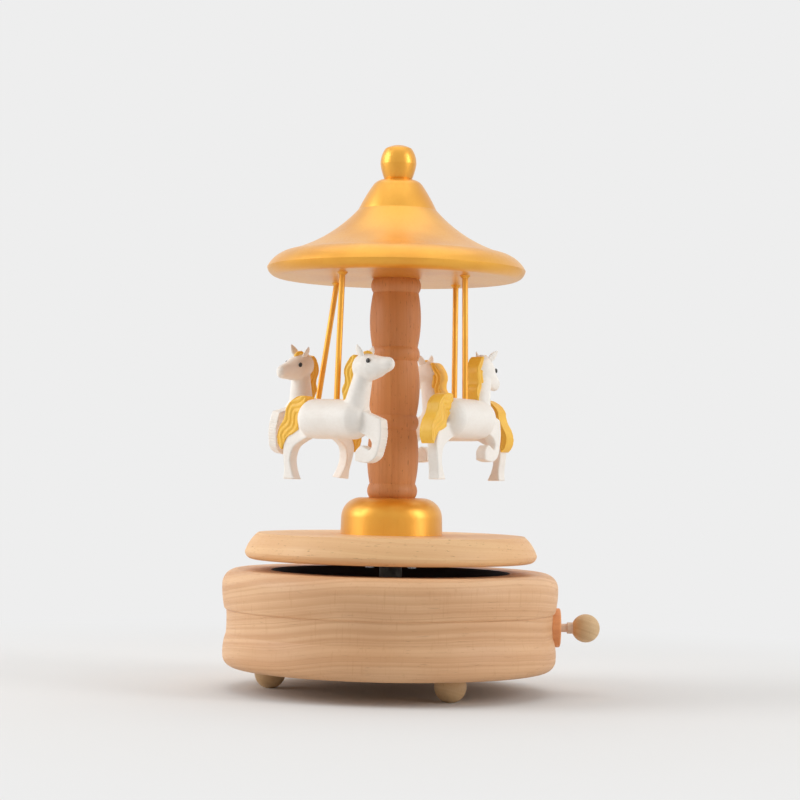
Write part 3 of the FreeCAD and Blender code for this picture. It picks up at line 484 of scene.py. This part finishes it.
def carved_body(drop):
    """Trunk, neck, head, foreleg and hind leg under one coat of paint."""
    shape = bmesh.new()
    trunk_w = -6.9
    trunk_r = 6.9
    rear = [(-8.6, trunk_w, trunk_r)] + domed((-9.2, trunk_w, trunk_r), (-15.0, trunk_w, 0))
    front = [(7.6, trunk_w, trunk_r)] + domed((8.2, trunk_w, trunk_r), (13.8, trunk_w, 0))
    limb(shape, list(reversed(rear)) + front)
    limb(shape, [(8.3, -6.0, 5.0), (9.5, 0.0, 4.1), (11.2, 7.0, 3.4), (11.8, 11.0, 3.2), (12.0, 13.0, 2.8)])
    back_of_head = list(reversed(domed((11.2, 11.0, 4.5), (7.4, 11.2, 0))))
    muzzle = domed((21.8, 11.9, 2.5), (24.6, 12.0, 0))
    head = back_of_head + [(13.0, 10.9, 4.75), (15.5, 10.9, 4.5), (18.6, 11.2, 3.6), (20.4, 11.6, 2.95)] + muzzle
    limb(shape, swung(head, HEAD_PIVOT, drop), width=0.84)
    foreleg = [
        (8.0, -8.0), (12.6, -11.6), (16.6, -13.4, -0.2), (18.0, -15.5, -0.3), (16.9, -17.4, -0.3),
        (13.5, -15.7), (10.7, -18.1, 0.3), (10.7, -20.9), (15.8, -21.7, 0.2), (20.2, -19.3, 0.5),
        (21.9, -13.1, 0.2), (21.2, -6.8, 0.3), (13.4, -4.2), (8.0, -4.0),
    ]
    hind_leg = [
        (-9.0, -4.0), (-15.4, -8.8), (-20.4, -11.4), (-22.2, -16.4, 0.5), (-21.6, -22.5, 0.1),
        (-21.6, -28.0, -0.3), (-16.2, -28.0), (-18.6, -22.5, -0.3), (-18.3, -18.8, -0.2),
        (-16.2, -15.9, -0.3), (-6.9, -12.0, -0.3), (-5.0, -8.0),
    ]
    slab(shape, 4.0, foreleg)
    slab(shape, 4.0, hind_leg)
    mesh = melted("carved_horse", shape, 0.3, 4)
    notch(mesh, -19.0, -8.0, 1.0, 0.22)
    return mesh


def strands(spine, pitch, depth):
    """Depth of wavy grooves that run along a spine of (forward, up) points."""
    points = np.array(spine, float)

    def depth_at(u, w):
        best = np.full(u.shape, 1e9)
        across = np.zeros(u.shape)
        along = np.zeros(u.shape)
        run = 0.0
        for start, end in zip(points, points[1:]):
            way = end - start
            length = math.hypot(*way)
            way = way / length
            reach = np.clip((u - start[0]) * way[0] + (w - start[1]) * way[1], 0, length)
            off_u = u - start[0] - way[0] * reach
            off_w = w - start[1] - way[1] * reach
            gap = np.hypot(off_u, off_w)
            nearer = gap < best
            best = np.where(nearer, gap, best)
            side = off_u * way[1] - off_w * way[0]
            across = np.where(nearer, np.sign(side) * gap, across)
            along = np.where(nearer, run + reach, along)
            run += length
        wave = across + 0.55 * np.sin(2 * math.pi * along / 8.5)
        return depth * (0.5 + 0.5 * np.cos(2 * math.pi * wave / pitch)) ** 2

    return depth_at


def mane_mesh():
    shape = bmesh.new()
    slab(shape, 5.0, [
        (10.5, 13.5), (8.7, 15.2), (6.2, 13.0, 0.3), (4.6, 8.8, 0.5), (5.0, 5.2, -0.3),
        (4.2, 2.2, 0.4), (5.0, -0.6), (8.0, -0.6), (10.0, 6.0),
    ])
    mesh = melted("mane", shape, 0.25, 3)
    carve(mesh, strands([(9.3, 15.0), (7.4, 10.0), (7.3, 5.0), (6.2, -0.6)], 1.7, 0.5))
    return mesh


def tail_mesh(lift):
    shape = bmesh.new()
    slab(shape, 5.0, [
        (-12.0, -4.0), (-12.4, 0.9), (-18.0, -0.2, 0.6), (-21.3, -3.7, 0.4), (-22.6, -8.0, -0.3),
        (-24.7, -12.4, 0.3), (-22.4, -17.9, 0.9), (-20.0, -13.2, -0.3), (-15.1, -10.7, 0.2),
        (-14.4, -7.0, -0.5),
    ])
    mesh = melted("tail", shape, 0.25, 3)
    carve(mesh, strands([(-12.4, -1.6), (-17.4, -4.0), (-19.2, -8.6), (-22.2, -13.0), (-22.4, -17.4)], 1.9, 0.36))
    swing(mesh.vertices, TAIL_PIVOT, lift)
    mesh.update()
    return mesh


def head_piece(name, shape, drop):
    """The mesh of a closed piece that moves with the head."""
    bmesh.ops.recalc_face_normals(shape, faces=shape.faces)
    swing(shape.verts, HEAD_PIVOT, drop)
    mesh = bpy.data.meshes.new(name)
    shape.to_mesh(mesh)
    shape.free()
    return mesh


def eye_mesh(drop):
    """Two small round painted eyes."""
    shape = bmesh.new()
    for side in (-1, 1):
        spot = bmesh.ops.create_uvsphere(shape, u_segments=20, v_segments=12, radius=0.85)
        for vertex in spot["verts"]:
            vertex.co.y *= 0.5
            vertex.co += Vector((16.0, 3.35 * side, 12.9))
    return head_piece("eyes", shape, drop)


def ear_mesh(drop):
    """Two leaf-shaped ears that lean outward."""
    shape = bmesh.new()
    stations = ((0.0, 1.0), (0.2, 1.4), (0.45, 1.55), (0.7, 1.15), (0.88, 0.6), (1.0, 0.15))
    for side in (-1, 1):
        root = Vector((12.0, 1.9 * side, 14.2))
        tip = Vector((11.6, 4.3 * side, 18.4))
        rows = []
        for share, half in stations:
            centre = root.lerp(tip, share)
            row = []
            for step in range(20):
                angle = 2 * math.pi * step / 20
                row.append(shape.verts.new(centre + Vector((math.cos(angle) * half,
                                                            math.sin(angle) * half * 0.42, 0.0))))
            rows.append(row)
        for low, high in zip(rows, rows[1:]):
            for step in range(20):
                after = (step + 1) % 20
                shape.faces.new((low[step], low[after], high[after], high[step]))
        shape.faces.new(list(reversed(rows[0])))
        shape.faces.new(rows[-1])
    return head_piece("ears", shape, drop)


def forelock_mesh(drop):
    """Small tuft that falls forward between the ears."""
    shape = bmesh.new()
    limb(shape, [(10.4, 14.6, 0.6), (11.6, 15.4, 0.95), (13.0, 15.7, 0.95), (14.2, 15.5, 0.7), (15.2, 14.9, 0.3)],
         width=1.15, ring=20)
    return head_piece("forelock", shape, drop)


def corners_of(name):
    """World places of a CAD node's vertices."""
    node = nodes[name]
    return [node.matrix_world @ vertex.co for vertex in node.data.vertices]


def mean(points):
    return sum(points, Vector()) / len(points)


POLE_DEPTH = 8.0 * MM


def horse_place(number):
    """A horse's own frame: origin where its pole enters its back, up along the pole, in metres."""
    wire = corners_of("pole_%d" % number)
    floor_z = min(point.z for point in wire)
    roof_z = max(point.z for point in wire)
    foot = mean([point for point in wire if point.z < floor_z + 0.5 * MM])
    head = mean([point for point in wire if point.z > roof_z - 0.5 * MM])
    up = (head - foot).normalized()
    ahead = mean(corners_of("mane_%d" % number)) - mean(corners_of("tail_%d" % number))
    forward = (ahead - up * ahead.dot(up)).normalized()
    left = up.cross(forward)
    origin = foot + up * POLE_DEPTH
    turn = Matrix((forward, left, up)).transposed().to_4x4()
    return Matrix.Translation(origin) @ turn @ Matrix.Scale(MM, 4)


def make_horses(finishes):
    """Four horses, each with its own way of holding its head and tail."""
    black = painted("eye_black", shade(40, 38, 36), shade(24, 22, 20), 0.25, (1.0, 1.0, 1.0))
    for number in HORSES:
        drop = HEAD_DROPS[number]
        place = horse_place(number)
        kinds = {
            "carved_horse": (carved_body(drop), finishes["white_paint"], "white_paint", ("horse", "legs")),
            "carved_mane": (mane_mesh(), finishes["hair_gold"], "hair_gold", ("mane",)),
            "carved_tail": (tail_mesh(TAIL_LIFTS[number]), finishes["hair_gold"], "hair_gold", ("tail",)),
            "carved_forelock": (forelock_mesh(drop), finishes["hair_gold"], "hair_gold", ()),
            "carved_ears": (ear_mesh(drop), finishes["white_paint"], "white_paint", ()),
            "painted_eyes": (eye_mesh(drop), black, None, ()),
        }
        for kind, (mesh, finish, slot_name, stood_for) in kinds.items():
            mesh.transform(place)
            mesh.materials.clear()
            mesh.materials.append(finish)
            mesh.polygons.foreach_set("use_smooth", [True] * len(mesh.polygons))
            piece = bpy.data.objects.new("%s_%d" % (kind, number), mesh)
            bpy.context.collection.objects.link(piece)
            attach(piece, "carousel")
            if stood_for:
                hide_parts(*["%s_%d" % (node, number) for node in stood_for])


def main():
    finishes = make_finishes()
    paint_cad_nodes(finishes)
    make_horses(finishes)
    make_world()
    make_floor()
    make_lamps()
    make_camera()
    bpy.context.scene.view_settings.view_transform = "Standard"


main()
